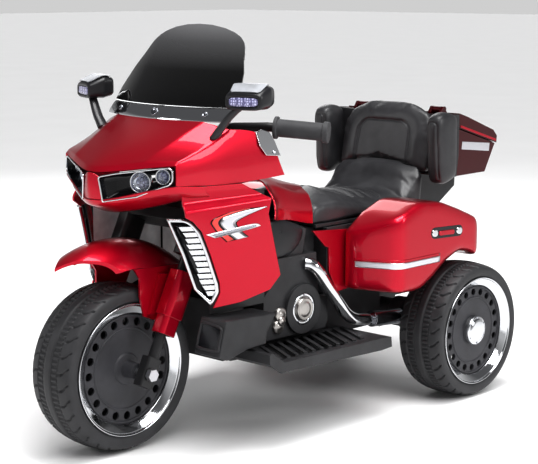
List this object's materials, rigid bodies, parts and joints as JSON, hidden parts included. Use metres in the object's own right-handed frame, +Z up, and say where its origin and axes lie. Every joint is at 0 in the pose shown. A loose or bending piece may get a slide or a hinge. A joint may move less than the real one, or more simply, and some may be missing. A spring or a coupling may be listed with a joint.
{
  "type": "child's battery ride-on touring trike",
  "caption": "Child's battery ride-on touring trike with steering fork, turning wheels, lift-off seat, hinged trunk lid, accelerator pedal and dashboard controls.",
  "frame": {"origin": "on the ground under the middle of the trike's length and width", "axes": "+Z up, the trike faces -Y, +X is the rider's left"},
  "size_m": [0.512, 1.024, 0.6979],
  "materials": {
    "candy_red": "metallic candy gloss",
    "black_plastic": "fine-grain moulded",
    "gloss_black": "gloss",
    "chrome": "polished plated plastic",
    "tyre_black": "moulded tread",
    "steel": "zinc plated",
    "black_steel": "black powder coat",
    "smoke_screen": "smoked",
    "lamp_clear": "clear lens",
    "lamp_red": "red lens",
    "leather": "grained, stitched",
    "grip_rubber": "ribbed",
    "silver": "silver foil",
    "battery_grey": "smooth"
  },
  "bodies": {
    "chassis": {"chassis_frame": "black_steel", "rear_axle": "steel", "gearboxes": "black_plastic", "belly_tub": "black_plastic", "footboards": "black_plastic", "engine_block": "black_plastic", "engine_covers": "black_plastic", "engine_caps": "chrome", "exhaust_pipes": "chrome", "mufflers": "chrome", "front_cowl": "candy_red", "headlight_housings": "gloss_black", "headlight_lenses": "lamp_clear", "windscreen_strip": "chrome", "windscreen": "smoke_screen", "mirrors": "black_plastic", "fairing_panels": "candy_red", "side_grilles": "chrome", "front_bracket": "black_plastic", "leg_guards": "black_plastic", "dashboard": "black_plastic", "tank_cover": "candy_red", "battery_tub": "black_plastic", "battery": "battery_grey", "side_covers": "candy_red", "charge_socket": "gloss_black", "saddlebag_left": "candy_red", "saddlebag_right": "candy_red", "bag_stripes": "silver", "bag_handles": "gloss_black", "tail_lights": "lamp_red", "trunk_body": "candy_red", "backrest_pad": "leather", "arm_pads": "leather", "rear_support": "black_plastic"},
    "steering": {"fork": "black_steel", "fork_shrouds": "candy_red", "front_fender": "candy_red", "front_axle": "steel", "handlebar": "black_steel", "grips": "grip_rubber"},
    "front_wheel": {"front_tyre": "tyre_black", "front_rims": "chrome", "front_disc": "black_plastic"},
    "rear_left_wheel": {"rear_left_tyre": "tyre_black", "rear_left_rims": "chrome", "rear_left_disc": "black_plastic", "rear_left_cap": "chrome"},
    "rear_right_wheel": {"rear_right_tyre": "tyre_black", "rear_right_rims": "chrome", "rear_right_disc": "black_plastic", "rear_right_cap": "chrome"},
    "trunk_lid": {"trunk_lid": "candy_red"},
    "seat": {"seat_base": "black_plastic", "seat_cushion": "leather"},
    "pedal": {"pedal": "black_plastic"},
    "start_button": {"start_button": "lamp_red"},
    "horn_button": {"horn_button": "gloss_black"},
    "direction_rocker": {"direction_rocker": "gloss_black"}
  },
  "joints": [
    {"name": "steering_head", "type": "hinge", "parent": "chassis", "child": "steering", "pos_m": [0, -0.19829, 0.43912], "axis": [0, 0.4384, 0.8988], "range_deg": [-20, 20]},
    {"name": "front_wheel_spin", "type": "hinge", "parent": "steering", "child": "front_wheel", "pos_m": [0, -0.372, 0.14], "axis": [1, 0, 0], "continuous": true},
    {"name": "rear_left_wheel_spin", "type": "hinge", "parent": "chassis", "child": "rear_left_wheel", "pos_m": [0.208, 0.304, 0.1265], "axis": [1, 0, 0], "continuous": true},
    {"name": "rear_right_wheel_spin", "type": "hinge", "parent": "chassis", "child": "rear_right_wheel", "pos_m": [-0.208, 0.304, 0.1265], "axis": [1, 0, 0], "continuous": true},
    {"name": "trunk_lid_hinge", "type": "hinge", "parent": "chassis", "child": "trunk_lid", "pos_m": [0, 0.379, 0.527], "axis": [1, 0, 0], "range_deg": [0, 70]},
    {"name": "seat_lift", "type": "slide", "parent": "chassis", "child": "seat", "axis": [0, 0, 1], "range_m": [0, 0.12]},
    {"name": "accelerator", "type": "hinge", "parent": "chassis", "child": "pedal", "pos_m": [-0.174, -0.033, 0.157], "axis": [1, 0, 0], "range_deg": [0, 8], "stiffness_Nm_per_rad": 4, "springref_deg": -2.86},
    {"name": "start_press", "type": "slide", "parent": "chassis", "child": "start_button", "axis": [0, -0.745, -0.667], "range_m": [0, 0.0025], "stiffness_N_per_m": 400, "springref_m": -0.001},
    {"name": "horn_press", "type": "slide", "parent": "chassis", "child": "horn_button", "axis": [0, -0.745, -0.667], "range_m": [0, 0.0025], "stiffness_N_per_m": 400, "springref_m": -0.001},
    {"name": "direction_switch", "type": "hinge", "parent": "chassis", "child": "direction_rocker", "pos_m": [0, -0.23949, 0.51867], "axis": [1, 0, 0], "range_deg": [-8, 8]}
  ]
}
